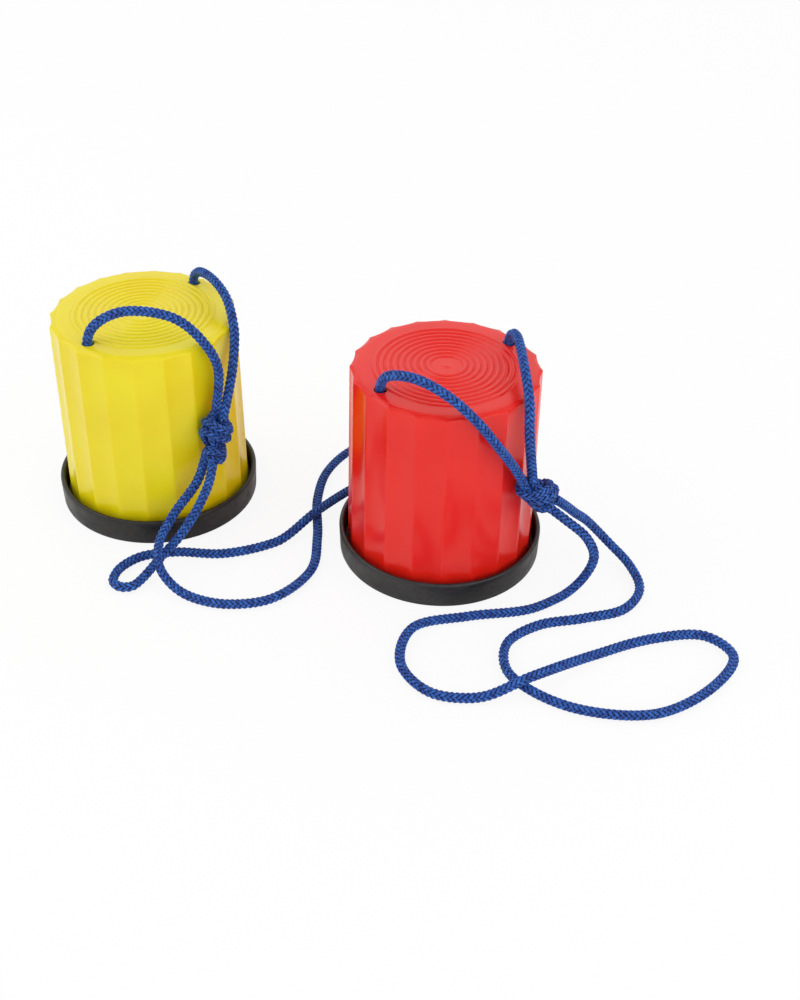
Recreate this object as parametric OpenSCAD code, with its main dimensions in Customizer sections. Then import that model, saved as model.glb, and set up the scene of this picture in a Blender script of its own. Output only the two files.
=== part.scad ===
/* [Stilts] */
// Distance between the centres of the two stilts
stilt_spacing = 196; // [170:1:240]

/* [Tub] */
// Height of a tub from its mouth to its tread, without the ridges
tub_h = 130.2; // [110:0.2:150]
// Diameter over the flutes just under the shoulder
shoulder_d = 115; // [108:0.5:120]
// Diameter over the flutes at the open mouth
mouth_d = 118; // [114:0.5:126]
// Thickness of the side wall between the flutes
wall_t = 3; // [2.4:0.1:4]
// Thickness of the tread
tread_t = 3; // [2:0.1:5]
// Width of the sloping shoulder between tread and wall
shoulder_w = 4; // [2.5:0.1:5]
// How far the wall's upper edge lies below the tread
shoulder_drop = 1.8; // [1.2:0.1:2.4]
// Height of the step where the tread stands above its shoulder
tread_step = 0.4; // [0.2:0.1:0.6]
// Number of flutes round the wall
flute_count = 20; // [16:2:24]
// Depth of a flute at its middle
flute_depth = 1.5; // [1.2:0.1:2]
// Width of the plain strip left between two flutes
flute_land = 0.8; // [0.6:0.1:2]
// Height of the plain band between the mouth and the flutes
plain_band = 15; // [8:1:30]
// Height over which a flute runs out into the plain band
flute_runout = 10; // [6:1:20]

/* [Tread] */
// Number of grip rings on the tread
ridge_count = 9; // [4:1:9]
// Distance from one grip ring to the next
ridge_pitch = 4; // [3:0.1:4]
// Radius of the innermost grip ring
first_ridge_r = 11; // [6:0.5:11]
// Height of a grip ring
ridge_h = 0.8; // [0.5:0.1:1.1]
// Width of a grip ring
ridge_w = 2.4; // [2.2:0.1:2.8]
// Diameter of the small nub in the middle of the tread
nub_d = 2.4; // [1.5:0.1:4]
// Height of that nub
nub_h = 0.4; // [0.2:0.1:0.8]

/* [Cord holes] */
// Distance between the two cord holes of a tread
hole_spread = 95; // [93:0.5:100]
// Diameter of a cord hole
hole_d = 7.2; // [7:0.1:9]
// Direction of the red stilt's holes, anticlockwise from +X
red_turn = 52.5; // [40:0.5:65]
// Direction of the yellow stilt's holes, anticlockwise from +X
yellow_turn = 72.5; // [60:0.5:85]

/* [Base ring] */
// Height of the rubber rim
rim_h = 17; // [12:0.5:24]
// Thickness of the rubber rim
rim_t = 3; // [2:0.1:4]
// How far the rim leans out on its way up
rim_flare = 0.5; // [0:0.1:1.5]
// Gap between the tub's mouth and the rim
rim_gap = 2; // [1:0.1:4]
// Thickness of the rubber floor under the tub's edge
floor_t = 3; // [2:0.1:5]
// Diameter of the opening in the floor
floor_bore_d = 80; // [60:1:96]
// Height of the collar that holds the mouth from inside
collar_h = 8; // [4:0.5:12]
// Thickness of that collar
collar_t = 2.5; // [1.5:0.1:4]
// Clearance between the collar and the inside of the mouth
collar_gap = 0.3; // [0.2:0.05:0.6]

/* [Cord] */
// Diameter of the braided cord
cord_d = 6; // [5:0.1:7]
// Length of a knot that gathers both legs and the handle loop
gather_l = 27; // [22:0.5:32]
// Diameter over the wraps of a gather knot
gather_d = 20.4; // [18:0.2:21]
// Length of a stopper knot under the tread
stopper_l = 14; // [12:0.5:18]
// Diameter over the wraps of a stopper knot
stopper_d = 14.4; // [13:0.1:14.8]
// How far a stopper knot sits inwards of its hole
stopper_inset = 1.6; // [1:0.1:3]
// Slack of the cord: how far the stoppers hang under the tread
cord_slack = 10.3; // [5:0.1:20]

/* [Hidden] */
$fn = 96;
// Facets of a tub's round shapes, fine enough for its shallow flutes.
tub_fn = 360;

YELLOW = "#e2d42c";
RED = "#e0342e";
RUBBER = "#2a2a2c";
BLUE = "#2850aa";

tread_z = floor_t + tub_h;
shoulder_r = shoulder_d / 2;
mouth_r = mouth_d / 2;
draft = atan((mouth_r - shoulder_r) / (tub_h - shoulder_drop));

// A flute is cut by a cylinder that passes through both lands and the flute's middle.
land_angle = asin(flute_land / 2 / shoulder_r);
flute_half_angle = 180 / flute_count - land_angle;
flute_half_w = shoulder_r * sin(flute_half_angle);
flute_dip = flute_depth - shoulder_r * (1 - cos(flute_half_angle));
flute_r = (flute_half_w * flute_half_w + flute_dip * flute_dip) / (2 * flute_dip);

ridge_r = (ridge_w * ridge_w / 4 + ridge_h * ridge_h) / (2 * ridge_h);

collar_r = mouth_r - wall_t - collar_gap;
rim_r = mouth_r + rim_gap + rim_t;
lip_r = rim_t / 2;

hole_r = hole_spread / 2;
stopper_z = tread_z - tread_t - cord_slack - stopper_l / 2;

// How far a cord's end is drawn into its knot.
knot_grip = 1.6;
// Half the distance between two cords that leave a knot side by side.
pair_offset = cord_d / 2 + 0.2;
tube_sides = 8;
overcut = 1;

// Gather knots, from the centre of their stilt: middle, axis downwards, and the way from
// the front cord to the back cord.
yellow_knot = [59.6, -36.2, 75.5];
yellow_knot_axis = unit([-0.14, -0.38, -0.915]);
yellow_knot_side = unit([0.93, -0.37, 0]);
red_knot = [65.7, -23.8, 70];
red_knot_axis = unit([0.55, 0.37, -0.75]);
red_knot_side = unit([0.53, 0.54, 0.65]);

// Legs over the tread, from the centre of their stilt. Each starts in its hole and ends in
// its gather knot.
yellow_front_route = [
    [-8, -44, 147], [8, -38, 155], [36, -29.5, 151], [52.5, -27, 136.5],
    [60, -25.5, 119]
];
yellow_back_route = [
    [20.5, 40, 144.5], [37.5, 25, 149.5], [51, 13.5, 144.5], [60.2, 1, 133],
    [62, -3, 128], [64.5, -15, 112]
];
red_front_route = [
    [-22, -44, 147.5], [-4, -50, 152.5], [15.5, -52.5, 146.5], [31.5, -51.5, 133.5],
    [44, -46, 115], [53.5, -35.5, 93.5]
];
red_back_route = [
    [37, 20, 149.5], [50, -11.5, 145], [56, -23.5, 133.5], [58.5, -29, 117]
];

// Handle loops, from the centre of their stilt. Each leaves its gather knot, lies on the
// ground and comes back to the knot.
yellow_loop_route = [
    [50.5, -47, 47], [40, -62, 29.5], [37.5, -80, 19.5], [45, -96, 13.5],
    [62, -104, 5.5], [90, -103.5, 3], [115, -90, 3], [128.5, -58, 3],
    [121, -24, 3], [107, 15, 3], [103, 48, 3], [113, 80, 3],
    [145, 107, 3], [184, 120, 3], [205, 118.5, 3], [216, 106, 3],
    [209, 92, 3], [188, 82.5, 3], [158, 71, 3], [132, 43, 3],
    [114.5, -6.5, 9.8], [98, -37, 3], [71, -58.5, 3], [41, -67, 3],
    [22.5, -78, 3], [15.5, -91, 3], [15, -99, 3], [17, -105.5, 3],
    [23, -108.5, 3], [29.5, -106, 3], [32.5, -99, 3.5], [38, -82, 9],
    [49.5, -69, 24], [59.5, -51.5, 48]
];
red_loop_route = [
    [81, -6.5, 53], [86, 4, 41], [92.5, 13, 30], [107, 17, 13.5],
    [123, 9, 5], [133, -10, 3], [127, -32, 3], [105, -48, 3],
    [80, -63, 3], [66, -84, 3], [71, -106, 3], [90, -119, 3],
    [121, -124.5, 3], [161, -114, 3], [189, -81, 3], [196, -53, 3],
    [178, -41, 3], [150, -52, 3], [118, -78, 3.5], [87, -114.5, 9.8],
    [62, -133, 3.5], [34, -137.5, 3], [11, -120, 3], [9, -88, 3],
    [38, -68, 3], [72, -50, 3], [90.5, -29, 4], [99.5, -19, 13],
    [103, -17, 27], [97, -19, 42], [84.5, -20.5, 52.5]
];

function unit(v) = v / norm(v);

// Direction of a route at its point i, level with both neighbours.
function heading(route, i) =
    unit(route[min(i + 1, len(route) - 1)] - route[max(i - 1, 0)]);

// Part of v that lies square to the direction d, as a unit vector.
function squared(v, d) = unit(v - d * (v * d));

// A direction square to d to start a tube with.
function first_side(d) = abs(d.z) > 0.9 ? squared([1, 0, 0], d) : squared([0, 0, 1], d);

function ring(centre, d, side) =
    let (other = cross(d, side))
    [for (k = [0 : tube_sides - 1])
        let (a = (k + 0.5) * 360 / tube_sides)
        centre + cord_d / 2 * (side * cos(a) + other * sin(a))];

// Side vectors of all rings, each carried on from the one before without a twist.
function sides_along(route) = [
    for (
        i = 0, side = first_side(heading(route, 0));
        i < len(route);
        i = i + 1, side = squared(side, heading(route, min(i, len(route) - 1)))
    ) side
];

// A tube along a route, with a ring of corners at every point.
module cord_tube(route) {
    sides = sides_along(route);
    last = len(route) - 1;
    corners = [for (i = [0 : last]) each ring(route[i], heading(route, i), sides[i])];
    walls = [
        for (i = [0 : last - 1], k = [0 : tube_sides - 1])
            let (
                a = i * tube_sides + k,
                b = i * tube_sides + (k + 1) % tube_sides
            )
            each [[a, a + tube_sides, b], [b, a + tube_sides, b + tube_sides]]
    ];
    caps = [
        for (k = [1 : tube_sides - 2])
            each [[0, k, k + 1], [last * tube_sides, last * tube_sides + k + 1, last * tube_sides + k]]
    ];
    color(BLUE) polyhedron(points = corners, faces = concat(walls, caps));
}

// Puts what stands on the origin along +Z onto a point, along a direction.
module along(point, direction) {
    translate(point)
        rotate([0, acos(direction.z), atan2(direction.y, direction.x)])
            children();
}

// Moves a stilt's pieces to its place: -1 is the yellow stilt, 1 the red one.
module place(side) {
    translate([side * stilt_spacing / 2, 0, 0]) children();
}

// Section of a tub without flutes, from its axis to its skin.
module tub_section() {
    difference() {
        union() {
            polygon([
                [0, floor_t], [mouth_r, floor_t], [shoulder_r, tread_z - shoulder_drop],
                [shoulder_r - shoulder_w, tread_z - tread_step], [shoulder_r - shoulder_w, tread_z],
                [0, tread_z]
            ]);
            for (i = [0 : ridge_count - 1])
                translate([first_ridge_r + i * ridge_pitch, tread_z + ridge_h - ridge_r]) circle(ridge_r);
        }
        polygon([
            [0, floor_t - overcut], [mouth_r - wall_t, floor_t - overcut], [mouth_r - wall_t, floor_t],
            [shoulder_r - wall_t, tread_z - tread_t], [0, tread_z - tread_t]
        ]);
    }
}

// Cutter of one flute: a cylinder that narrows at its foot and leans with the wall, kept to
// its own slice of the tub so that it stays clear of the cutters beside it.
module flute_cutter() {
    shoulder_z = tread_z - shoulder_drop;
    foot_z = floor_t + plain_band - shoulder_z;
    slice_r = 2 * mouth_r;
    slice_half_w = slice_r * tan(flute_half_angle + land_angle / 2);
    intersection() {
        translate([shoulder_r - flute_depth + flute_r, 0, shoulder_z])
            rotate([0, -draft, 0])
                rotate_extrude()
                    polygon([
                        [0, foot_z], [flute_r - flute_depth, foot_z], [flute_r, foot_z + flute_runout],
                        [flute_r, shoulder_drop + 2 * overcut], [0, shoulder_drop + 2 * overcut]
                    ]);
        linear_extrude(2 * tread_z) polygon([[0, 0], [slice_r, -slice_half_w], [slice_r, slice_half_w]]);
    }
}

module tub(turn, skin) {
    $fn = tub_fn;
    color(skin)
        rotate([0, 0, turn])
            difference() {
                union() {
                    rotate_extrude() tub_section();
                    translate([0, 0, tread_z - overcut]) cylinder(h = nub_h + overcut, d = nub_d);
                }
                for (i = [0 : flute_count - 1])
                    rotate([0, 0, (i + 0.5) * 360 / flute_count]) flute_cutter();
                for (side = [-1, 1])
                    translate([side * hole_r, 0, tread_z - tread_t - overcut])
                        cylinder(h = tread_t + 2 * overcut + ridge_h, d = hole_d);
            }
}

module base_ring() {
    color(RUBBER)
        rotate_extrude() {
            translate([rim_r + rim_flare - lip_r, rim_h - lip_r]) circle(lip_r);
            polygon([
                [floor_bore_d / 2, 0], [rim_r, 0], [rim_r + rim_flare, rim_h - lip_r],
                [rim_r + rim_flare - rim_t, rim_h - lip_r], [rim_r - rim_t, floor_t],
                [collar_r, floor_t], [collar_r, floor_t + collar_h],
                [collar_r - collar_t, floor_t + collar_h], [collar_r - collar_t, floor_t],
                [floor_bore_d / 2, floor_t]
            ]);
        }
}

// A pulled-tight knot: its middle, and slanting wraps of cord round it.
module knot(length, across, middle_r, wraps) {
    step = (length - cord_d) / wraps;
    color(BLUE) {
        translate([0, 0, -length / 2]) cylinder(h = length, r = middle_r);
        for (i = [0 : wraps - 1])
            translate([0, 0, (i - (wraps - 1) / 2) * step])
                rotate([(i % 2 == 0 ? 1 : -1) * 12, 0, 0])
                    rotate_extrude() translate([(across - cord_d) / 2, 0]) circle(cord_d / 2);
    }
}

module gather_knot(middle, axis) {
    along(middle, axis) knot(gather_l, gather_d, cord_d + 0.2, 3);
}

// side is 1 for the hole in the direction of turn and -1 for the one across.
module stopper_knot(turn, side) {
    rotate([0, 0, turn])
        translate([side * (hole_r - stopper_inset), 0, stopper_z])
            knot(stopper_l, stopper_d, cord_d / 2 + 0.6, 2);
}

// Leg from its stopper up through its hole, over the tread and down into the gather knot.
module leg(turn, side, route, knot_end) {
    hole = side * hole_r * [cos(turn), sin(turn), 0];
    cord_tube(concat(
        [
            hole + [0, 0, stopper_z + stopper_l / 2 - knot_grip],
            hole + [0, 0, tread_z + cord_d / 2]
        ],
        route,
        [knot_end]
    ));
}

// Where a cord enters a gather knot: end is -1 above and 1 below, side -1 front and 1 back.
function knot_end(middle, axis, across, end, side) =
    middle + end * (gather_l / 2 - knot_grip) * axis + side * pair_offset * across;

module yellow_loop() {
    cord_tube(concat(
        [knot_end(yellow_knot, yellow_knot_axis, yellow_knot_side, 1, -1)],
        yellow_loop_route,
        [knot_end(yellow_knot, yellow_knot_axis, yellow_knot_side, 1, 1)]
    ));
}

module red_loop() {
    cord_tube(concat(
        [knot_end(red_knot, red_knot_axis, red_knot_side, 1, 1)],
        red_loop_route,
        [knot_end(red_knot, red_knot_axis, red_knot_side, 1, -1)]
    ));
}

yellow_front_end = knot_end(yellow_knot, yellow_knot_axis, yellow_knot_side, -1, -1);
yellow_back_end = knot_end(yellow_knot, yellow_knot_axis, yellow_knot_side, -1, 1);
red_front_end = knot_end(red_knot, red_knot_axis, red_knot_side, -1, -1);
red_back_end = knot_end(red_knot, red_knot_axis, red_knot_side, -1, 1);

place(-1) tub(yellow_turn, YELLOW);  // yellow_tub
place(-1) base_ring();  // yellow_base
place(-1) leg(yellow_turn, -1, yellow_front_route, yellow_front_end);  // yellow_front_leg
place(-1) leg(yellow_turn, 1, yellow_back_route, yellow_back_end);  // yellow_back_leg
place(-1) gather_knot(yellow_knot, yellow_knot_axis);  // yellow_gather_knot
place(-1) yellow_loop();  // yellow_handle_loop
place(-1) stopper_knot(yellow_turn, -1);  // yellow_front_stopper
place(-1) stopper_knot(yellow_turn, 1);  // yellow_back_stopper

place(1) tub(red_turn, RED);  // red_tub
place(1) base_ring();  // red_base
place(1) leg(red_turn, -1, red_front_route, red_front_end);  // red_front_leg
place(1) leg(red_turn, 1, red_back_route, red_back_end);  // red_back_leg
place(1) gather_knot(red_knot, red_knot_axis);  // red_gather_knot
place(1) red_loop();  // red_handle_loop
place(1) stopper_knot(red_turn, -1);  // red_front_stopper
place(1) stopper_knot(red_turn, 1);  // red_back_stopper
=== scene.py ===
# A pair of bucket stilts: fluted plastic tubs on rubber rings, with braided cord handles.
import math

import bmesh
import bpy
import numpy as np
from mathutils import Matrix, Vector


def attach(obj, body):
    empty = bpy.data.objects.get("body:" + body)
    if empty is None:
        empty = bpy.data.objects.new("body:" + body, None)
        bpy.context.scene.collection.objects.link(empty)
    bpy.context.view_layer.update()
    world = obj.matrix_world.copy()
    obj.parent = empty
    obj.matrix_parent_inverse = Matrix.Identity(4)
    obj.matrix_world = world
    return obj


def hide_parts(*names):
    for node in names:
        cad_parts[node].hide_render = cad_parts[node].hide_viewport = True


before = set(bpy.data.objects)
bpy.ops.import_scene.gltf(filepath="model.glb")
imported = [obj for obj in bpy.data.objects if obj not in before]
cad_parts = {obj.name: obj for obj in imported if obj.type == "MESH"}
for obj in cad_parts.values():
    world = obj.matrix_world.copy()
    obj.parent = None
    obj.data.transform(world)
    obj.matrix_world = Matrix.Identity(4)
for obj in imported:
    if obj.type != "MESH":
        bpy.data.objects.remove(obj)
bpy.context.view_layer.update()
scene = bpy.context.scene
mm = 0.001
print("frame loaded")

# The photograph's camera, solved with the stilts in the frame of the solids.
cameraView = {
    "place": (0.27617, -0.69229, 0.57005),
    "right": (0.95981, 0.27905, 0.03002),
    "up": (-0.19137, 0.57245, 0.79730),
    "lens": 50.63,
    "sensor": 36,  # along the picture's upright side
    "shift": (-0.0312, 0.0042),
}


def addCamera(view):
    camera = bpy.data.objects.new("camera", bpy.data.cameras.new("camera"))
    scene.collection.objects.link(camera)
    camera.data.lens = view["lens"]
    camera.data.sensor_width = view["sensor"]
    camera.data.shift_x, camera.data.shift_y = view["shift"]
    right, up = Vector(view["right"]), Vector(view["up"])
    turn = Matrix((right, up, right.cross(up))).transposed()
    camera.matrix_world = Matrix.Translation(view["place"]) @ turn.to_4x4()
    scene.camera = camera


addCamera(cameraView)

# Where each stilt stands along X, and by how many degrees its line of cord holes is turned.
stilts = {"yellow": {"x": -0.098, "turn": 72.5}, "red": {"x": 0.098, "turn": 52.5}}
hole = {
    "radius": 47.5 * mm,   # from the stilt's axis to the hole's
    "width": 7.2 * mm,
    "top": 133.2 * mm,
}


# Gives each input of a node a value or the output that feeds it.
def feed(tree, node, inputs):
    for key, value in inputs.items():
        if isinstance(value, bpy.types.NodeSocket):
            tree.links.new(value, node.inputs[key])
        else:
            node.inputs[key].default_value = value


def put(tree, kind, inputs=None, **settings):
    node = tree.nodes.new(kind)
    for name, value in settings.items():
        setattr(node, name, value)
    feed(tree, node, inputs or {})
    return node


def reckon(tree, operation, *values):
    return put(tree, "ShaderNodeMath", dict(enumerate(values)), operation=operation).outputs[0]


def aim(tree, operation, *values):
    keys = (0, "Scale") if operation == "SCALE" else (0, 1)
    return put(tree, "ShaderNodeVectorMath", dict(zip(keys, values)), operation=operation).outputs[0]


def startTree(name, sizes):
    tree = bpy.data.node_groups.new(name, "GeometryNodeTree")
    face = tree.interface
    face.new_socket("Geometry", in_out="INPUT", socket_type="NodeSocketGeometry")
    for label, kind in sizes.items():
        face.new_socket(label, in_out="INPUT", socket_type="NodeSocket" + kind)
    face.new_socket("Geometry", in_out="OUTPUT", socket_type="NodeSocketGeometry")
    return tree, tree.nodes.new("NodeGroupInput").outputs


def endTree(tree, geometry, material):
    real = put(tree, "GeometryNodeRealizeInstances", {0: geometry})
    painted = put(tree, "GeometryNodeSetMaterial", {0: real.outputs[0], "Material": material})
    put(tree, "NodeGroupOutput", {0: painted.outputs[0]})


# Makes what the modifier gives the piece's own plain mesh.
def keepShape(piece, modifier):
    made = bpy.data.meshes.new_from_object(piece.evaluated_get(bpy.context.evaluated_depsgraph_get()))
    piece.modifiers.remove(modifier)
    piece.data = made


# Runs a tree over lines of points. The tree's inputs take the sizes, and the points the values.
def grow(name, tree, lines, sizes, values=None):
    points, edges = [], []
    for line in lines:
        edges += [(len(points) + i, len(points) + i + 1) for i in range(len(line) - 1)]
        points += [tuple(p) for p in line]
    mesh = bpy.data.meshes.new(name)
    mesh.from_pydata(points, edges, [])
    for label, numbers in (values or {}).items():
        mesh.attributes.new(label, "FLOAT", "POINT").data.foreach_set("value", numbers)
    piece = bpy.data.objects.new(name, mesh)
    scene.collection.objects.link(piece)
    modifier = piece.modifiers.new("nodes", "NODES")
    modifier.node_group = tree
    for item in tree.interface.items_tree:
        if item.in_out == "INPUT" and item.name in sizes:
            modifier[item.identifier] = sizes[item.name]
    keepShape(piece, modifier)
    piece.data.name = name
    return piece


def smoothBut(piece, angle):
    mesh = piece.data
    mesh.polygons.foreach_set("use_smooth", [True] * len(mesh.polygons))
    mesh.set_sharp_from_angle(angle=math.radians(angle))


def startMaterial(name):
    material = bpy.data.materials.new(name)
    material.use_nodes = True
    tree = material.node_tree
    return material, tree, tree.nodes["Principled BSDF"]


def noise(tree, where, scale, detail, rough=0.5):
    node = put(tree, "ShaderNodeTexNoise", {
        "Vector": where, "Scale": scale, "Detail": detail, "Roughness": rough})
    return node.outputs["Fac"]


def spread(tree, value, low, high, toLow=0.0, toHigh=1.0):
    node = put(tree, "ShaderNodeMapRange", {"Value": value, "From Min": low, "From Max": high,
                                            "To Min": toLow, "To Max": toHigh})
    return node.outputs["Result"]


def blendColours(tree, share, first, second):
    return put(tree, "ShaderNodeMix", {0: share, 6: first, 7: second}, data_type="RGBA").outputs[2]


# Two patterns added in shares of one.
def addShares(tree, first, second, share):
    return reckon(tree, "ADD", reckon(tree, "MULTIPLY", first, 1 - share),
                  reckon(tree, "MULTIPLY", second, share))


def addBump(tree, height, strength, distance):
    node = put(tree, "ShaderNodeBump", {"Strength": strength, "Distance": distance, "Height": height})
    return node.outputs[0]


# A screen colour of 0 to 255 as the linear one that a shader takes.
def linear(colour):
    parts = [c / 255 for c in colour]
    return tuple(c / 12.92 if c < 0.0405 else ((c + 0.055) / 1.055) ** 2.4 for c in parts) + (1,)


plastic = {
    "yellow": {"deep": (238, 216, 14), "light": (242, 226, 22), "bleed": (1, 0.7, 0.15)},
    "red": {"deep": (234, 28, 18), "light": (238, 38, 26), "bleed": (1, 0.2, 0.1)},
    "cloudScale": 22,        # broad, faint changes of shade
    "gloss": (0.17, 0.23),   # the least and most roughness
    "glossScale": 25,
    "swell": 0.05,           # slow unevenness of the moulded skin
    "swellScale": 30,
    "swellHeight": 0.6 * mm,
    "specular": 0.42,
    "scatter": 0.25,         # light that goes into the plastic and comes out beside
    "scatterDepth": 2 * mm,
}


def plasticMaterial(colour):
    look = plastic[colour]
    material, tree, shader = startMaterial(colour + "Plastic")
    place = put(tree, "ShaderNodeTexCoord").outputs["Object"]
    cloud = spread(tree, noise(tree, place, plastic["cloudScale"], 2), 0.35, 0.7)
    haze = noise(tree, place, plastic["glossScale"], 1)
    swell = noise(tree, place, plastic["swellScale"], 1)
    feed(tree, shader, {
        "Base Color": blendColours(tree, cloud, linear(look["deep"]), linear(look["light"])),
        "Roughness": spread(tree, haze, 0.3, 0.75, *plastic["gloss"]),
        "Normal": addBump(tree, swell, plastic["swell"], plastic["swellHeight"]),
        "Specular IOR Level": plastic["specular"],
        "Subsurface Weight": plastic["scatter"],
        "Subsurface Radius": look["bleed"],
        "Subsurface Scale": plastic["scatterDepth"],
    })
    return material


rubber = {
    "deep": (10, 8, 8),
    "dusty": (52, 51, 52),
    "dustScale": 26,         # soft patches of dust
    "scuffScale": 260,       # short scuffs that run round the ring
    "scuffStretch": (1, 1, 2.5),
    "scuffShare": 0.4,
    "gloss": (0.28, 0.48),
    "glossScale": 160,
    "grain": 0.25,
    "grainScale": 900,
    "grainHeight": 0.4 * mm,
}


def rubberMaterial():
    material, tree, shader = startMaterial("blackRubber")
    place = put(tree, "ShaderNodeTexCoord").outputs["Object"]
    dust = noise(tree, place, rubber["dustScale"], 3)
    scuffs = noise(tree, aim(tree, "MULTIPLY", place, rubber["scuffStretch"]), rubber["scuffScale"], 6, 0.75)
    worn = spread(tree, addShares(tree, dust, scuffs, rubber["scuffShare"]), 0.4, 0.66)
    grain = noise(tree, place, rubber["grainScale"], 3)
    feed(tree, shader, {
        "Base Color": blendColours(tree, worn, linear(rubber["deep"]), linear(rubber["dusty"])),
        "Roughness": spread(tree, noise(tree, place, rubber["glossScale"], 4), 0.3, 0.7, *rubber["gloss"]),
        "Normal": addBump(tree, grain, rubber["grain"], rubber["grainHeight"]),
    })
    return material


braidLook = {
    "deep": (24, 9, 52),         # painted shade, down between the strands and under them
    "mid": (8, 38, 126),
    "light": (58, 126, 222),
    "paintedShadeFade": (0.15, 0.85),         # the strand's height where the painted shade ends and the blue is full
    "fibreStretch": (90, 3, 1),  # across a strand, along it, and up
    "fibre": 0.5,
    "fibreHeight": 0.2 * mm,
    "speckScale": 320,
    "speckShare": 0.45,
    "roughness": 0.62,
    "specular": 0.35,
    "sheen": 0.08,
    "sheenRoughness": 0.4,
}


# The attribute "strand" holds the place across and along a strand, and the height in the braid, which sets
# the painted shade.
def cordMaterial():
    material, tree, shader = startMaterial("blueCord")
    along = put(tree, "ShaderNodeAttribute", attribute_name="strand").outputs["Vector"]
    parts = put(tree, "ShaderNodeSeparateXYZ", {0: along})
    place = put(tree, "ShaderNodeTexCoord").outputs["Object"]
    fibre = noise(tree, aim(tree, "MULTIPLY", along, braidLook["fibreStretch"]), 1.0, 3, 0.6)
    tone = addShares(tree, fibre, noise(tree, place, braidLook["speckScale"], 2), braidLook["speckShare"])
    bright = blendColours(tree, spread(tree, tone, 0.38, 0.64),
                          linear(braidLook["mid"]), linear(braidLook["light"]))
    # The deep colour where the height is low is painted shade between and under the strands.
    height = reckon(tree, "ADD", parts.outputs["Z"], reckon(tree, "MULTIPLY", tone, 0.3))
    feed(tree, shader, {
        "Base Color": blendColours(tree, spread(tree, height, *braidLook["paintedShadeFade"]),
                                   linear(braidLook["deep"]), bright),
        "Normal": addBump(tree, fibre, braidLook["fibre"], braidLook["fibreHeight"]),
        "Roughness": braidLook["roughness"],
        "Specular IOR Level": braidLook["specular"],
        "Sheen Weight": braidLook["sheen"],
        "Sheen Roughness": braidLook["sheenRoughness"],
    })
    return material


finishes = {"yellow": plasticMaterial("yellow"), "red": plasticMaterial("red")}
blackRubber = rubberMaterial()
blueCord = cordMaterial()
print("materials made")


cord = {
    "width": 6 * mm,
    "strands": 12,
    "pitch": 19 * mm,         # one whole turn of a strand round the cord
    "ringsPerPitch": 29,
    "layRadius": 2.2 * mm,    # how far a strand's middle lies from the cord's
    "weave": 0.4 * mm,        # how far it rises and dips at the crossings
    "strandWidth": 1.75 * mm,
    "strandThickness": 1.1 * mm,
    "coreWidth": 3.7 * mm,
    "sides": 5,
    "restHeight": 3.1 * mm,   # of its middle over the floor
    "rise": 3 * mm,           # how far a leg comes straight up out of its hole
}

# Each cord's points in the frame of its own stilt, in metres.

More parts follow.
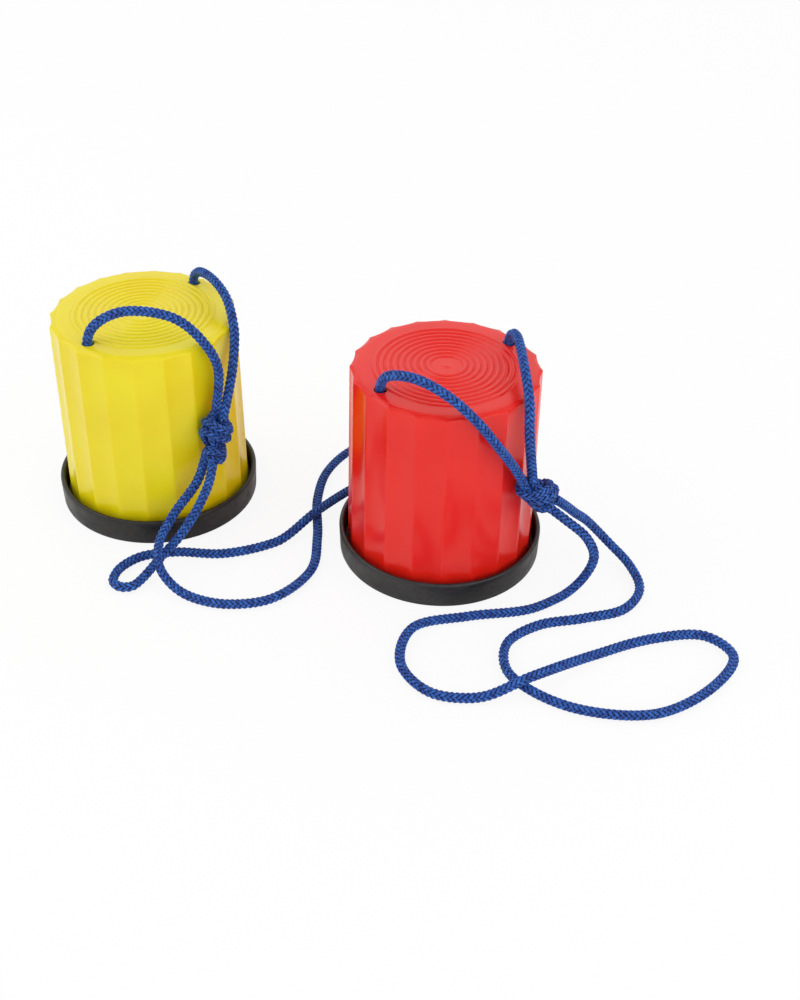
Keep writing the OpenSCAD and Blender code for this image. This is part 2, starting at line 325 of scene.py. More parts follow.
routes = {
    "yellow": {
        "front": (
            (-0.008, -0.044, 0.147), (0.008, -0.038, 0.155), (0.036, -0.0295, 0.151),
            (0.0525, -0.027, 0.1365), (0.06, -0.0255, 0.119)),
        "back": (
            (0.0205, 0.04, 0.1445), (0.0375, 0.025, 0.1495), (0.051, 0.0135, 0.1445),
            (0.0602, 0.001, 0.133), (0.062, -0.003, 0.128), (0.0645, -0.015, 0.112)),
        "loop": (
            (0.0505, -0.047, 0.047), (0.04, -0.062, 0.0295), (0.0375, -0.08, 0.0195),
            (0.045, -0.096, 0.0135), (0.062, -0.104, 0.0055), (0.09, -0.1035, 0.003),
            (0.115, -0.09, 0.003), (0.1285, -0.058, 0.003), (0.121, -0.024, 0.003),
            (0.107, 0.015, 0.003), (0.103, 0.048, 0.003), (0.113, 0.08, 0.003),
            (0.145, 0.107, 0.003), (0.184, 0.12, 0.003), (0.205, 0.1185, 0.003),
            (0.216, 0.106, 0.003), (0.209, 0.092, 0.003), (0.188, 0.0825, 0.003),
            (0.158, 0.071, 0.003), (0.132, 0.043, 0.003), (0.1145, -0.0065, 0.0098),
            (0.098, -0.037, 0.003), (0.071, -0.0585, 0.003), (0.041, -0.067, 0.003),
            (0.0225, -0.078, 0.003), (0.0155, -0.091, 0.003), (0.015, -0.099, 0.003),
            (0.017, -0.1055, 0.003), (0.023, -0.1085, 0.003), (0.0295, -0.106, 0.003),
            (0.0325, -0.099, 0.0035), (0.038, -0.082, 0.009), (0.0495, -0.069, 0.024),
            (0.0595, -0.0515, 0.048)),
        "knot": (0.0596, -0.0362, 0.0755),
        "axis": (-0.14, -0.38, -0.915),   # from the legs down to the loop
        "side": (0.93, -0.37, 0),         # from the front cord to the back one
        "loopStart": -1,                  # the loop sets out beside the front leg
    },
    "red": {
        "front": (
            (-0.022, -0.044, 0.1475), (-0.004, -0.05, 0.1525), (0.0155, -0.0525, 0.1465),
            (0.0315, -0.0515, 0.1335), (0.044, -0.046, 0.115), (0.0535, -0.0355, 0.0935)),
        "back": (
            (0.037, 0.02, 0.1495), (0.05, -0.0115, 0.145), (0.056, -0.0235, 0.1335),
            (0.0585, -0.029, 0.117)),
        "loop": (
            (0.081, -0.0065, 0.053), (0.086, 0.004, 0.041), (0.0925, 0.013, 0.03),
            (0.107, 0.017, 0.0135), (0.123, 0.009, 0.005), (0.133, -0.01, 0.003),
            (0.127, -0.032, 0.003), (0.105, -0.048, 0.003), (0.08, -0.063, 0.003),
            (0.066, -0.084, 0.003), (0.071, -0.106, 0.003), (0.09, -0.119, 0.003),
            (0.121, -0.1245, 0.003), (0.161, -0.114, 0.003), (0.189, -0.081, 0.003),
            (0.196, -0.053, 0.003), (0.178, -0.041, 0.003), (0.15, -0.052, 0.003),
            (0.118, -0.078, 0.0035), (0.087, -0.1145, 0.0098), (0.062, -0.133, 0.0035),
            (0.034, -0.1375, 0.003), (0.011, -0.12, 0.003), (0.009, -0.088, 0.003),
            (0.038, -0.068, 0.003), (0.072, -0.05, 0.003), (0.0905, -0.029, 0.004),
            (0.0995, -0.019, 0.013), (0.103, -0.017, 0.027), (0.097, -0.019, 0.042),
            (0.0845, -0.0205, 0.0525)),
        "knot": (0.0668, -0.0226, 0.0712),
        "axis": (0.55, 0.37, -0.75),
        "side": (0.53, 0.54, 0.65),
        "loopStart": 1,
    },
}
gatherKnots = {
    "reach": 11.9 * mm,    # from its middle to where a cord is lost in it
    "entry": 3.2 * mm,     # from its axis to each cord of the pair where it goes in
    "apart": 2.7 * mm,     # the same inside the knot
    "squeeze": 0.9,        # how much thinner the cord is pulled there
    # How each path is turned round the axis, which way it winds, and how its wraps lean.
    "yellow": {"start": -100, "hand": -1, "lean": (0.39, -0.22)},
    "red": {"start": 120, "hand": 1, "lean": (0.35, 0)},
}
stoppers = {
    "cordEnd": 118.3 * mm,   # where a leg is lost in its stopper
    "middle": 112.9 * mm,
    "inset": 1.6 * mm,       # from the hole's axis towards the stilt's
    "squeeze": 0.9,
}


# A smooth line through a route's points, in steps of about one millimetre. The spans t1 to t3 go by
# the square roots of the distances, which keeps the line from overshooting at close points.
def smoothLine(route, lowest=-1.0):
    points = np.array(route, float)
    points = np.vstack([2 * points[0] - points[1], points, 2 * points[-1] - points[-2]])
    made = []
    for p0, p1, p2, p3 in zip(points, points[1:], points[2:], points[3:]):
        t1 = math.sqrt(np.linalg.norm(p1 - p0))
        t2 = t1 + math.sqrt(np.linalg.norm(p2 - p1))
        t3 = t2 + math.sqrt(np.linalg.norm(p3 - p2))
        count = max(2, round(np.linalg.norm(p2 - p1) / mm))
        t = np.linspace(t1, t2, count, endpoint=False)[:, None]
        a1 = (t1 - t) / t1 * p0 + t / t1 * p1
        a2 = (t2 - t) / (t2 - t1) * p1 + (t - t1) / (t2 - t1) * p2
        a3 = (t3 - t) / (t3 - t2) * p2 + (t - t2) / (t3 - t2) * p3
        b1 = (t2 - t) / t2 * a1 + t / t2 * a2
        b2 = (t3 - t) / (t3 - t1) * a2 + (t - t1) / (t3 - t1) * a3
        made.append((t2 - t) / (t2 - t1) * b1 + (t - t1) / (t2 - t1) * b2)
    made.append(points[-2:-1])
    line = np.vstack(made)
    line[:, 2] = np.maximum(line[:, 2], lowest)
    return line


# Strands that go half one way and half the other way round, over two and under two.
def braidTree():
    tree, given = startTree("cordBraid", {
        "Strands": "Int", "Pitch": "Float", "Step": "Float", "Lay Radius": "Float", "Weave": "Float",
        "Strand Width": "Float", "Strand Thickness": "Float", "Core Width": "Float", "Sides": "Int",
        "Finish": "Material"})
    line = put(tree, "GeometryNodeMeshToCurve", {0: given["Geometry"]})
    even = put(tree, "GeometryNodeResampleCurve", {
        "Curve": line.outputs[0], "Length": given["Step"]}, mode="LENGTH")
    copies = put(tree, "GeometryNodeDuplicateElements", {
        0: even.outputs[0], "Amount": given["Strands"]}, domain="SPLINE")

    # Each strand's turn round the cord, and its rise and dip at the crossings.
    number = copies.outputs["Duplicate Index"]
    half = reckon(tree, "DIVIDE", given["Strands"], 2)
    inHalf = reckon(tree, "MODULO", number, half)
    way = reckon(tree, "SUBTRACT", reckon(tree, "MULTIPLY", reckon(tree, "LESS_THAN", number, half), 2), 1)
    length = put(tree, "GeometryNodeSplineParameter").outputs["Length"]
    turned = reckon(tree, "MULTIPLY", reckon(tree, "DIVIDE", length, given["Pitch"]), math.tau)
    start = reckon(tree, "MULTIPLY", reckon(tree, "DIVIDE", inHalf, half), math.tau)
    angle = reckon(tree, "ADD", reckon(tree, "MULTIPLY", turned, way), start)
    waves = reckon(tree, "MULTIPLY", turned, reckon(tree, "DIVIDE", given["Strands"], 4))
    lag = reckon(tree, "SUBTRACT", reckon(tree, "MULTIPLY", inHalf, math.pi),
                 reckon(tree, "MULTIPLY", way, math.pi / 4))
    rise = reckon(tree, "MULTIPLY", reckon(tree, "COSINE", reckon(tree, "ADD", waves, lag)), way)
    radius = reckon(tree, "ADD", given["Lay Radius"], reckon(tree, "MULTIPLY", rise, given["Weave"]))
    normal = put(tree, "GeometryNodeInputNormal").outputs[0]
    across = aim(tree, "CROSS_PRODUCT", put(tree, "GeometryNodeInputTangent").outputs[0], normal)
    outward = aim(tree, "ADD", aim(tree, "SCALE", normal, reckon(tree, "COSINE", angle)),
                  aim(tree, "SCALE", across, reckon(tree, "SINE", angle)))
    kept = put(tree, "GeometryNodeCaptureAttribute", {"Geometry": copies.outputs["Geometry"]})
    for label, kind, value in (("outward", "VECTOR", outward), ("length", "FLOAT", length),
                               ("rise", "FLOAT", rise), ("radius", "FLOAT", radius)):
        kept.capture_items.new(kind, label)
        tree.links.new(value, kept.inputs[label])
    moved = put(tree, "GeometryNodeSetPosition", {
        "Geometry": kept.outputs["Geometry"],
        "Offset": aim(tree, "SCALE", kept.outputs["outward"], kept.outputs["radius"])})
    faced = put(tree, "GeometryNodeSetCurveNormal", {
        0: moved.outputs[0], "Normal": kept.outputs["outward"]}, mode="FREE")

    # The flat oval of a strand, swept along.
    ring = put(tree, "GeometryNodeCurvePrimitiveCircle", {"Resolution": given["Sides"], "Radius": 1.0})
    ringPlace = put(tree, "GeometryNodeCaptureAttribute", {"Geometry": ring.outputs[0]})
    ringPlace.capture_items.new("VECTOR", "around")
    tree.links.new(put(tree, "GeometryNodeInputPosition").outputs[0], ringPlace.inputs["around"])
    scale = put(tree, "ShaderNodeCombineXYZ", {
        "X": reckon(tree, "DIVIDE", given["Strand Thickness"], 2),
        "Y": reckon(tree, "DIVIDE", given["Strand Width"], 2), "Z": 1.0})
    oval = put(tree, "GeometryNodeTransform", {
        "Geometry": ringPlace.outputs["Geometry"], "Scale": scale.outputs[0]})
    tube = put(tree, "GeometryNodeCurveToMesh", {
        "Curve": faced.outputs[0], "Profile Curve": oval.outputs[0], "Fill Caps": True})
    around = put(tree, "ShaderNodeSeparateXYZ", {0: ringPlace.outputs["around"]})
    # The height in "strand" mixes the side of the oval that faces out with the rise at the crossings; low
    # places get painted shade in the material.
    strand = put(tree, "ShaderNodeCombineXYZ", {
        "X": reckon(tree, "ADD", reckon(tree, "MULTIPLY", around.outputs["Y"], 0.1),
                    reckon(tree, "MULTIPLY", number, 3.7)),   # apart, so that no two strands match
        "Y": reckon(tree, "MULTIPLY", kept.outputs["length"], 1000),
        "Z": addShares(tree, around.outputs["X"], kept.outputs["rise"], 0.5)})
    named = put(tree, "GeometryNodeStoreNamedAttribute", {
        "Geometry": tube.outputs[0], "Name": "strand", "Value": strand.outputs[0]},
        data_type="FLOAT_VECTOR", domain="POINT")

    # A core in the deep colour of the painted shade, so that nothing shows through the gaps.
    thin = put(tree, "GeometryNodeCurvePrimitiveCircle", {
        "Resolution": given["Sides"], "Radius": reckon(tree, "DIVIDE", given["Core Width"], 2)})
    coarse = put(tree, "GeometryNodeResampleCurve", {
        "Curve": line.outputs[0], "Length": reckon(tree, "MULTIPLY", given["Step"], 3)}, mode="LENGTH")
    core = put(tree, "GeometryNodeCurveToMesh", {
        "Curve": coarse.outputs[0], "Profile Curve": thin.outputs[0], "Fill Caps": True})
    # Its height of -1 gives the core the full painted shade colour.
    paintedShadeCore = put(tree, "GeometryNodeStoreNamedAttribute", {
        "Geometry": core.outputs[0], "Name": "strand", "Value": (0, 0, -1)},
        data_type="FLOAT_VECTOR", domain="POINT")
    whole = put(tree, "GeometryNodeJoinGeometry", {0: named.outputs[0]})
    tree.links.new(paintedShadeCore.outputs[0], whole.inputs[0])
    smooth = put(tree, "GeometryNodeSetShadeSmooth", {0: whole.outputs[0], "Shade Smooth": True})
    endTree(tree, smooth.outputs[0], given["Finish"])
    return tree


braid = braidTree()
braidSizes = {
    "Strands": cord["strands"], "Pitch": cord["pitch"], "Step": cord["pitch"] / cord["ringsPerPitch"],
    "Lay Radius": cord["layRadius"], "Weave": cord["weave"], "Strand Width": cord["strandWidth"],
    "Strand Thickness": cord["strandThickness"], "Core Width": cord["coreWidth"],
    "Sides": cord["sides"], "Finish": blueCord,
}


def lengthOf(line):
    return float(np.linalg.norm(np.diff(line, axis=0), axis=1).sum())


def addCord(colour, part, node, line):
    line = line + np.array([stilts[colour]["x"], 0, 0])
    piece = grow(colour + part, braid, [line], braidSizes)
    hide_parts(node)
    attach(piece, colour + "_cord")
    print(piece.name, "is", round(lengthOf(line) / mm), "mm long")


# Where a cord meets the gather knot: above (-1) or below (1), in front (-1) or behind (1).
def knotEnd(place, end, side):
    along = Vector(place["axis"]).normalized() * end * gatherKnots["reach"]
    across = Vector(place["side"]).normalized() * side * gatherKnots["entry"]
    return tuple(Vector(place["knot"]) + along + across)


# Overhand knots as distance from the axis, degrees round it and height along it, in millimetres:
# down the back, out at the bottom, up and once round on the outside. The tail then goes in at the
# top, through the middle, and out again at the bottom.
gatherPaths = {
    "yellow": (
        (0.3, 0, -13.6), (1.6, 0, -11), (3.4, 0, -6), (3.6, 0, 0), (4.2, 0, 5), (5.8, 14, 7.6),
        (7.6, 45, 6.2), (7.6, 80, 2.5), (7.6, 120, -1.5), (7.6, 160, -4.5), (7.6, 200, -6.2),
        (7.6, 250, -7.2), (7.6, 300, -7.6), (7.6, 350, -8), (7.0, 400, -8.2), (5.6, 435, -7.2),
        (3.4, 465, -5.2), (2.0, 530, -3), (2.0, 600, -0.5), (3.6, 650, 2.2), (6.6, 660, 4.4),
        (7.4, 630, 6.4), (6.4, 590, 8.6), (4.2, 560, 10.8), (1.8, 545, 12.8), (0.3, 540, 14.6)),
    "red": (
        (0.3, 0, -13.6), (1.6, 0, -10), (2.8, 0, -6), (3.0, 0, 0), (3.6, 4, 5), (5.4, 18, 7.6),
        (7.4, 50, 7.4), (7.8, 100, 5.8), (7.8, 160, 3.8), (7.6, 220, 1.6), (7.4, 280, -0.8),
        (7.4, 340, -3.2), (7.4, 400, -5.4), (7.0, 450, -7), (5.6, 490, -7.6), (3.6, 520, -6),
        (2.8, 540, -2.5), (2.8, 540, 2), (2.4, 540, 7), (1.4, 540, 11), (0.3, 540, 14.6)),
}
stopperPath = (
    (1.6, 180, -8), (1.2, 180, -6), (1.6, 0, -4), (1.8, 0, 0), (2.6, 10, 3.6), (4.2, 60, 4.4),
    (4.4, 120, 3.2), (4.4, 180, 1.9), (4.4, 240, 0.6), (4.4, 300, -0.7), (4.4, 360, -2.0),
    (4.2, 420, -3.4), (3.2, 480, -4.0), (2.0, 530, -1.5), (1.8, 540, 2), (1.6, 540, 6), (1.2, 530, 12))
degree = 0.1 * mm   # what a degree counts for where a knot's path is smoothed
levelFrom, levelOver = 8, 4   # millimetres up or down the axis where the pair turns side by side


# The one cord or the pair that follows a knot's path, "apart" from its middle on each side.
def knotCords(path, start, hand, lean, frameOfKnot, apart):
    polar = smoothLine(np.array(path) * (mm, degree, mm))
    turn = np.radians(start + hand * polar[:, 1] / degree)
    outward = np.stack([np.cos(turn), np.sin(turn), 0 * turn], 1)
    middle = outward * polar[:, :1] + np.stack([0 * turn, 0 * turn, polar[:, 2]], 1)
    ahead = np.gradient(middle, axis=0)
    across = np.cross(outward, ahead)
    across /= np.linalg.norm(across, axis=1)[:, None]
    ends = np.clip((np.abs(polar[:, 2]) / mm - levelFrom) / levelOver, 0, 1)[:, None]
    level = np.where(across[:, :1] < 0, -1.0, 1.0) * np.array([1.0, 0, 0])
    across = across * (1 - ends) + level * ends
    across /= np.linalg.norm(across, axis=1)[:, None]
    lines = [middle + across * side * apart for side in ((-1, 1) if apart else (0,))]
    for line in lines:
        line[:, 2] += line[:, 0] * lean[0] + line[:, 1] * lean[1]
    turnTo = np.array(frameOfKnot.to_3x3())
    return [line @ turnTo.T + np.array(frameOfKnot.translation) for line in lines]


def knotFrame(middle, axis, side):
    axis, side = Vector(axis).normalized(), Vector(side).normalized()
    side = (side - axis * side.dot(axis)).normalized()
    turn = Matrix((side, axis.cross(side), axis)).transposed().to_4x4()
    return Matrix.Translation(middle) @ turn


def addKnot(colour, name, node, lines, squeeze):
    sizes = dict(braidSizes)
    for key in ("Lay Radius", "Weave", "Strand Width", "Strand Thickness", "Core Width"):
        sizes[key] *= squeeze
    piece = grow(colour + name, braid, lines, sizes)
    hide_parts(node)
    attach(piece, colour + "_cord")
    return piece


def addLeg(colour, part, side):
    place = routes[colour]
    turn = math.radians(stilts[colour]["turn"])
    way = Vector((math.cos(turn), math.sin(turn), 0)) * side
    middle = Vector((stilts[colour]["x"], 0, stoppers["middle"])) + way * (hole["radius"] - stoppers["inset"])
    lines = knotCords(stopperPath, 0, 1, (0, 0), knotFrame(middle, (0, 0, -1), -way), 0)
    stopper = addKnot(colour, part.capitalize() + "Stopper", f"{colour}_{part}_stopper", lines,
                      stoppers["squeeze"])
    below, above = (tuple(way * hole["radius"] + Vector((0, 0, z)))
                    for z in (stoppers["cordEnd"], hole["top"] + cord["rise"]))
    line = smoothLine((below, above) + place[part] + (knotEnd(place, -1, side),))
    addCord(colour, part.capitalize() + "Leg", f"{colour}_{part}_leg", line)


def addGather(colour):
    place, look = routes[colour], gatherKnots[colour]
    middle = Vector((stilts[colour]["x"], 0, 0)) + Vector(place["knot"])
    lines = knotCords(gatherPaths[colour], look["start"], look["hand"], look["lean"],
                      knotFrame(middle, place["axis"], place["side"]), gatherKnots["apart"])
    return addKnot(colour, "GatherKnot", colour + "_gather_knot", lines, gatherKnots["squeeze"])


def addLoop(colour):
    place = routes[colour]
    first, last = (knotEnd(place, 1, side) for side in (place["loopStart"], -place["loopStart"]))
    line = smoothLine((first,) + place["loop"] + (last,), cord["restHeight"])
    addCord(colour, "HandleLoop", f"{colour}_handle_loop", line)


for colour in routes:
    gather = addGather(colour)
    addLeg(colour, "front", -1)
    addLeg(colour, "back", 1)
    addLoop(colour)
print("cords laid")


# A tub's and a ring's sizes are in millimetres.
tub = {
    "columns": 480,
    "flutes": 20,
    "fluteDepth": 1.5,
    "land": 0.8,             # the flat left between two flutes
    "plainTop": 5.0,         # where the flutes have run out, behind the ring's lip
    "runOut": 8.0,
    "shoulder": 57.5,
    "mouth": 59.0,
    "foot": 3.0,
    "top": 133.2,
    "wall": 3.0,
    "corner": 2.0,           # the rounding inside, under the shoulder
    "band": 4.0,             # the sloping shoulder round the tread
    "bandBow": 1.3,          # how much the slope steepens outwards
    "drop": 1.8,
    "step": 0.4,             # from the tread down to the band
    "edgeRound": 0.9,
    "edgeFall": 0.45,        # how far the rounded edge's end lies under the drop
    "ridges": 9,
    "ridgePitch": 4.0,
    "firstRidge": 11.0,
    "ridgeHeight": 0.85,
    "ridgeWidth": 3.4,       # the foot of the ridge, with its soft flanks
    "ridgeShape": 2.6,       # 2 gives a round back, and more a flatter one
    # The small nub in the middle: distance from the axis, and height over the tread.
    "gateMark": ((0, 0.45), (0.8, 0.41), (1.5, 0.3), (2.1, 0.13), (2.5, 0.03), (2.8, 0), (5, 0)),
}


# Turns a profile round Z: each point's distance from the axis is its X. Its share "fluted" of the
# flutes' depth comes off, which narrows to nothing at their foot.
def turnedTree():
    tree, given = startTree("turnedPiece", {
        "Columns": "Int", "Flutes": "Int", "Flute Depth": "Float", "Cutter Radius": "Float",
        "Shoulder Radius": "Float", "Shoulder Height": "Float", "Lean": "Float",
        "Foot Height": "Float", "Run Out": "Float", "Finish": "Material"})
    rows = put(tree, "GeometryNodeAttributeDomainSize", {0: given["Geometry"]},
               component="MESH").outputs["Point Count"]
    grid = put(tree, "GeometryNodeMeshGrid", {
        "Size X": 1.0, "Size Y": 1.0,
        "Vertices X": reckon(tree, "ADD", given["Columns"], 1), "Vertices Y": rows})

    # Every grid point looks up the profile's point of its row.
    index = put(tree, "GeometryNodeInputIndex").outputs[0]
    column = reckon(tree, "FLOOR", reckon(tree, "DIVIDE", reckon(tree, "ADD", index, 0.5), rows))
    row = reckon(tree, "SUBTRACT", index, reckon(tree, "MULTIPLY", column, rows))
    spot = put(tree, "GeometryNodeSampleIndex", {
        0: given["Geometry"], "Value": put(tree, "GeometryNodeInputPosition").outputs[0], "Index": row},
        data_type="FLOAT_VECTOR")
    flag = put(tree, "GeometryNodeInputNamedAttribute", {"Name": "fluted"}, data_type="FLOAT")
    fluted = put(tree, "GeometryNodeSampleIndex", {
        0: given["Geometry"], "Value": flag.outputs[0], "Index": row}, data_type="FLOAT").outputs[0]
    parts = put(tree, "ShaderNodeSeparateXYZ", {0: spot.outputs[0]})
    out, up = parts.outputs["X"], parts.outputs["Z"]

    # A round cutter stands beside each flute, leans with the wall and shrinks at the foot.
    turn = reckon(tree, "MULTIPLY", math.tau,
                  reckon(tree, "DIVIDE", reckon(tree, "ADD", column, 0.5), given["Columns"]))
    pitch = reckon(tree, "DIVIDE", math.tau, given["Flutes"])
    inFlute = reckon(tree, "SUBTRACT", reckon(tree, "FRACT", reckon(tree, "DIVIDE", turn, pitch)), 0.5)
    off = reckon(tree, "MULTIPLY", inFlute, pitch)
    lean = reckon(tree, "MULTIPLY", reckon(tree, "SUBTRACT", given["Shoulder Height"], up), given["Lean"])
    middle = reckon(tree, "ADD", reckon(tree, "SUBTRACT", given["Shoulder Radius"], given["Flute Depth"]),
                    reckon(tree, "ADD", given["Cutter Radius"], lean))
    missing = put(tree, "ShaderNodeMapRange", {
        "Value": up, "From Min": given["Foot Height"],
        "From Max": reckon(tree, "ADD", given["Foot Height"], given["Run Out"]),
        "To Min": given["Flute Depth"], "To Max": 0.0}).outputs[0]
    cutter = reckon(tree, "SUBTRACT", given["Cutter Radius"], missing)
    sideways = reckon(tree, "MULTIPLY", middle, reckon(tree, "SINE", off))
    reach = reckon(tree, "SUBTRACT", reckon(tree, "MULTIPLY", cutter, cutter),
                   reckon(tree, "MULTIPLY", sideways, sideways))
    cut = reckon(tree, "SUBTRACT", reckon(tree, "MULTIPLY", middle, reckon(tree, "COSINE", off)),
                 reckon(tree, "SQRT", reckon(tree, "MAXIMUM", reach, 0.0)))
    skin = reckon(tree, "ADD", given["Shoulder Radius"], lean)
    depth = reckon(tree, "MAXIMUM", reckon(tree, "SUBTRACT", skin, cut), 0.0)
    radius = reckon(tree, "SUBTRACT", out, reckon(tree, "MULTIPLY", depth, fluted))

    spun = put(tree, "ShaderNodeCombineXYZ", {
        "X": reckon(tree, "MULTIPLY", radius, reckon(tree, "COSINE", turn)),
        "Y": reckon(tree, "MULTIPLY", radius, reckon(tree, "SINE", turn)), "Z": up})
    shaped = put(tree, "GeometryNodeSetPosition", {
        "Geometry": grid.outputs["Mesh"], "Position": spun.outputs[0]})
    closed = put(tree, "GeometryNodeMergeByDistance", {"Geometry": shaped.outputs[0], "Distance": 0.000002})
    endTree(tree, closed.outputs[0], given["Finish"])
    return tree


turned = turnedTree()


def arc(centre, radius, start, end, count):
    angles = np.radians(np.linspace(start, end, count))
    return [(centre[0] + radius * math.cos(a), centre[1] + radius * math.sin(a)) for a in angles]


# The tread from the middle outwards, with its nub, its ridges and the step at its edge.
def treadProfile(size):
    top, disc = size["top"], size["shoulder"] - size["band"]
    points = [(r, top + rise) for r, rise in size["gateMark"]]
    for ridge in range(size["ridges"]):
        middle = size["firstRidge"] + ridge * size["ridgePitch"]
        points.append((middle - size["ridgeWidth"] / 2 - 0.2, top))
        for share in (-1, -0.93, -0.8, -0.6, -0.3, 0, 0.3, 0.6, 0.8, 0.93, 1):
            rise = size["ridgeHeight"] * (1 - abs(share) ** size["ridgeShape"])
            points.append((middle + share * size["ridgeWidth"] / 2, top + rise))
    low = top - size["step"]
    return points + [(46.2, top), (50, top), (disc - 0.4, top), (disc - 0.12, top - 0.06),
                     (disc, top - 0.18), (disc + 0.08, low + 0.06), (disc + 0.3, low)]


# The tub's whole profile, and beside it each point's share of the flutes.
def tubProfile(size):
    points = treadProfile(size)
    fluted = [0] * len(points)
    (bandStart, bandTop), edge = points[-1], size["shoulder"] - size["edgeRound"]
    wallTop = size["top"] - size["drop"] - size["edgeFall"]
    rim = arc((edge, wallTop), size["edgeRound"], 70, 0, 8)
    for share in np.linspace(0, 1, 8)[1:-1]:
        points.append((bandStart + (rim[0][0] - bandStart) * share,
                       bandTop - (bandTop - rim[0][1]) * share ** size["bandBow"]))
        fluted.append(share)
    points += rim

    foot, mouth = size["foot"], size["mouth"]
    slope = (mouth - size["shoulder"]) / (wallTop - foot)
    heights = list(np.linspace(wallTop, size["plainTop"] + size["runOut"], 10)[1:])
    heights += list(np.linspace(size["plainTop"] + size["runOut"], size["plainTop"], 22)[1:]) + [foot + 0.5]
    points += [(size["shoulder"] + (wallTop - z) * slope, z) for z in heights]
    fluted += [1] * (len(rim) + len(heights))

    inner, bend = size["top"] - size["wall"], size["corner"]
    corner, innerMouth = size["shoulder"] - size["wall"], mouth - size["wall"]
    inside = [(mouth - 0.15, foot + 0.12), (mouth - 0.5, foot), (innerMouth + 0.5, foot),
              (innerMouth + 0.1, foot + 0.15), (innerMouth, foot + 0.6),
              (corner + 0.4, 90), (corner + 0.02, inner - bend)]
    inside += arc((corner - bend, inner - bend), bend, 0, 90, 6) + [(20, inner), (0, inner)]
    return points + inside, fluted + [0] * len(inside)


ring = {
    "columns": 240,
    "opening": 40.0,         # the wide hole in its floor
    "floorTop": 3.0,
    "outside": 64.02,
    "flare": 0.48,           # how far the outside leans out up to the lip
    "lipMiddle": 63.0,       # the lip is a half round on the wall
    "lipFoot": 15.5,
    "lipRound": 1.5,
    "inside": 61.06,
    "collarOutside": 55.7,   # the low collar stands inside the tub's mouth
    "collarInside": 53.2,
    "collarTop": 11.0,
}


def ringProfile(size):
    opening, floorTop, outside, inside = size["opening"], size["floorTop"], size["outside"], size["inside"]
    outer, inner, high = size["collarOutside"], size["collarInside"], size["collarTop"]
    lipFoot = size["lipFoot"]
    points = [(opening + 0.5, 0), (outside - 0.62, 0), (outside - 0.17, 0.15), (outside, 0.6)]
    points += [(outside + size["flare"] * z / lipFoot, z) for z in (4, 8, 12, lipFoot)]
    points += arc((size["lipMiddle"], lipFoot), size["lipRound"], 0, 180, 11)[1:]
    points += [(inside + 0.24, 10), (inside, floorTop + 1), (inside - 0.36, floorTop + 0.3),
               (inside - 0.86, floorTop), (outer + 0.5, floorTop), (outer + 0.05, floorTop + 0.4),
               (outer, high - 0.6), (outer - 0.4, high), (inner + 0.5, high), (inner, high - 0.5),
               (inner, floorTop + 0.6), (inner - 0.5, floorTop), (opening + 0.5, floorTop),
               (opening + 0.1, floorTop - 0.4), (opening, floorTop / 2), (opening + 0.1, 0.4),
               (opening + 0.5, 0)]
    return points, [0] * len(points)


# The cutter touches the lands' edges on both sides and the flute's full depth in the middle.
def cutterRadius(size):
    halfAngle = math.pi / size["flutes"] - math.asin(size["land"] / 2 / size["shoulder"])
    halfWidth = size["shoulder"] * math.sin(halfAngle)
    dip = size["fluteDepth"] - size["shoulder"] * (1 - math.cos(halfAngle))
    return (halfWidth ** 2 + dip ** 2) / (2 * dip) * mm


flutedSizes = {
    "Flutes": tub["flutes"], "Flute Depth": tub["fluteDepth"] * mm, "Cutter Radius": cutterRadius(tub),
    "Shoulder Radius": tub["shoulder"] * mm, "Shoulder Height": (tub["top"] - tub["drop"]) * mm,
    "Lean": (tub["mouth"] - tub["shoulder"]) / (tub["top"] - tub["drop"] - tub["foot"]),
    "Foot Height": tub["plainTop"] * mm, "Run Out": tub["runOut"] * mm,
}


def addTurned(name, shape, finish, columns):
    profile, fluted = shape
    line = [(r * mm, 0, z * mm) for r, z in profile]
    sizes = {**flutedSizes, "Columns": columns, "Finish": finish}
    return grow(name, turned, [line], sizes, {"fluted": fluted})


def outwards(piece):
    shell = bmesh.new()
    shell.from_mesh(piece.data)
    bmesh.ops.recalc_face_normals(shell, faces=shell.faces)
    shell.to_mesh(piece.data)
    shell.free()


# A cord hole's cutter in millimetres: how much wider than the hole, and the height over the tread.
holeEdges = ((0.8, 0.5), (0.4, 0), (0.1, -0.3), (0, -0.7), (0, -2.5), (0.1, -2.8), (0.4, -3.1), (0.8, -3.6))
holeColumns = 48


def cutHole(piece, finish, side):
    wide = hole["width"] / 2 / mm
    spool = [(wide + more, z) for more, z in holeEdges]
    spool = [(0, spool[0][1])] + spool + [(0, spool[-1][1])]
    cutter = addTurned("holeCutter", (spool, [0] * len(spool)), finish, holeColumns)
    outwards(cutter)
    cutter.data.transform(Matrix.Translation((side * hole["radius"], 0, hole["top"])))
    cut = piece.modifiers.new("hole", "BOOLEAN")
    cut.object, cut.operation, cut.solver = cutter, "DIFFERENCE", "EXACT"
    keepShape(piece, cut)
    bpy.data.objects.remove(cutter)


def addTub(colour):
    piece = addTurned(colour + "Tub", tubProfile(tub), finishes[colour], tub["columns"])
    outwards(piece)
    for side in (-1, 1):
        cutHole(piece, finishes[colour], side)
    smoothBut(piece, 30)
    turn = Matrix.Rotation(math.radians(stilts[colour]["turn"]), 4, "Z")
    piece.data.transform(Matrix.Translation((stilts[colour]["x"], 0, 0)) @ turn)
    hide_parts(colour + "_tub")
    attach(piece, colour + "_stilt")
    print(piece.name, len(piece.data.polygons), "faces")


def addBase(colour):
    piece = addTurned(colour + "Base", ringProfile(ring), blackRubber, ring["columns"])
    outwards(piece)
    smoothBut(piece, 35)
    piece.data.transform(Matrix.Translation((stilts[colour]["x"], 0, 0)))
    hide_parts(colour + "_base")
    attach(piece, colour + "_stilt")


for colour in stilts:
    addTub(colour)
    addBase(colour)
print("tubs and rings turned")


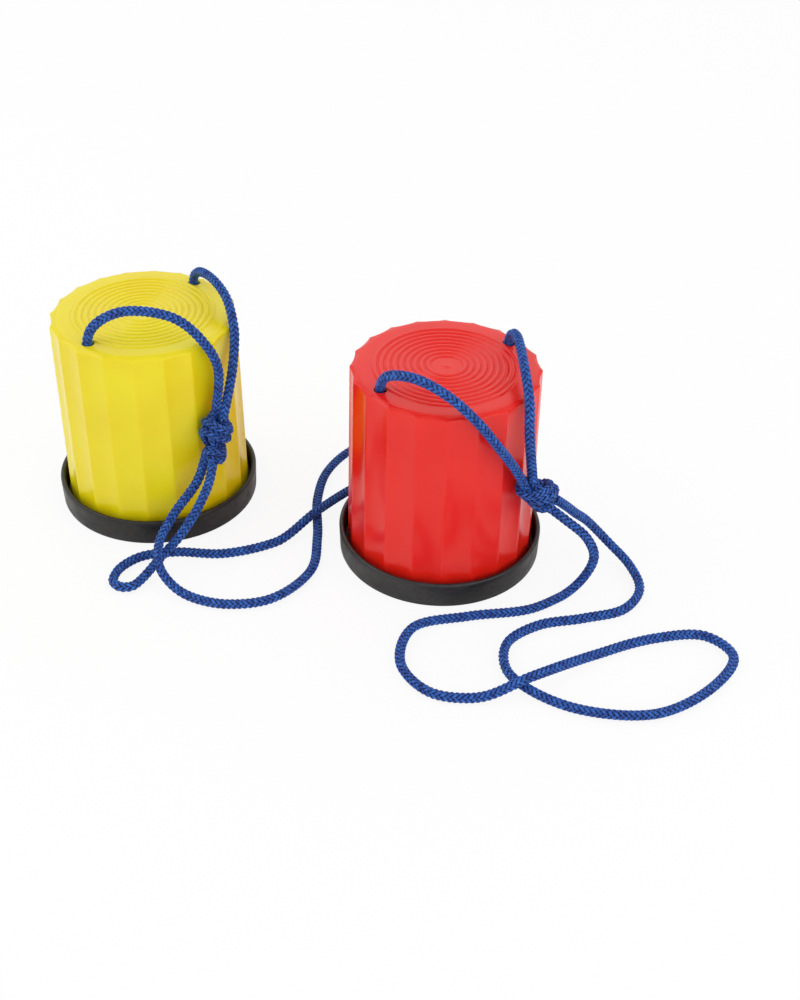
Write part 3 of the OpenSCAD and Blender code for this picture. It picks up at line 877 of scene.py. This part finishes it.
room = {
    "floor": 0.97,
    "floorReach": 20,         # metres each way, so that low views see no edge
    "floorDrop": 0.2 * mm,    # keeps the floor clear of the rings' undersides
    "seenWhite": 0.88,        # how much of the floor the camera sees as white; the rest has the shadow
    "world": 0.7,
}
lamps = {
    "key": {"place": (-1.2, -0.4, 1.15), "target": (0, 0, 0.05), "size": (1.8, 1.4), "power": 8.2},
    "side": {"place": (1.4, -0.5, 0.8), "target": (0.05, 0, 0.05), "size": (2.4, 1.4), "power": 9.8},
    "back": {"place": (-0.5, 1.9, 1.5), "target": (0, 0, 0.1), "size": (2.6, 1.6), "power": 5.0},
}
white = (1, 1, 1, 1)


def addFloor():
    mesh = bpy.data.meshes.new("floor")
    reach, z = room["floorReach"], -room["floorDrop"]
    mesh.from_pydata([(-reach, -reach, z), (reach, -reach, z), (reach, reach, z), (-reach, reach, z)],
                     [], [(0, 1, 2, 3)])
    floor = bpy.data.objects.new("floor", mesh)
    scene.collection.objects.link(floor)
    material, tree, shader = startMaterial("paleFloor")
    feed(tree, shader, {
        "Base Color": (room["floor"],) * 3 + (1,), "Roughness": 0.9, "Specular IOR Level": 0.1})
    glow = put(tree, "ShaderNodeEmission", {"Color": white, "Strength": 1.0})
    seen = put(tree, "ShaderNodeLightPath").outputs["Is Camera Ray"]
    mixed = put(tree, "ShaderNodeMixShader", {
        0: reckon(tree, "MULTIPLY", seen, room["seenWhite"]), 1: shader.outputs[0], 2: glow.outputs[0]})
    tree.links.new(mixed.outputs[0], tree.nodes["Material Output"].inputs["Surface"])
    mesh.materials.append(material)


def addWorld():
    world = bpy.data.worlds.new("studio")
    world.use_nodes = True
    tree = world.node_tree
    tree.nodes.clear()
    seen = put(tree, "ShaderNodeLightPath").outputs["Is Camera Ray"]
    light = put(tree, "ShaderNodeBackground", {"Color": white, "Strength": room["world"]})
    wall = put(tree, "ShaderNodeBackground", {"Color": white, "Strength": 1.0})
    mixed = put(tree, "ShaderNodeMixShader", {0: seen, 1: light.outputs[0], 2: wall.outputs[0]})
    put(tree, "ShaderNodeOutputWorld", {0: mixed.outputs[0]})
    scene.world = world


def addLamp(name, lamp):
    light = bpy.data.lights.new(name, "AREA")
    light.shape, light.energy = "RECTANGLE", lamp["power"]
    light.size, light.size_y = lamp["size"]
    stand = bpy.data.objects.new(name, light)
    stand.location = lamp["place"]
    ahead = Vector(lamp["target"]) - Vector(lamp["place"])
    stand.rotation_euler = ahead.to_track_quat("-Z", "Y").to_euler()
    scene.collection.objects.link(stand)


addFloor()
addWorld()
for name, lamp in lamps.items():
    addLamp(name, lamp)
scene.view_settings.view_transform = "Standard"

print("scene finished")
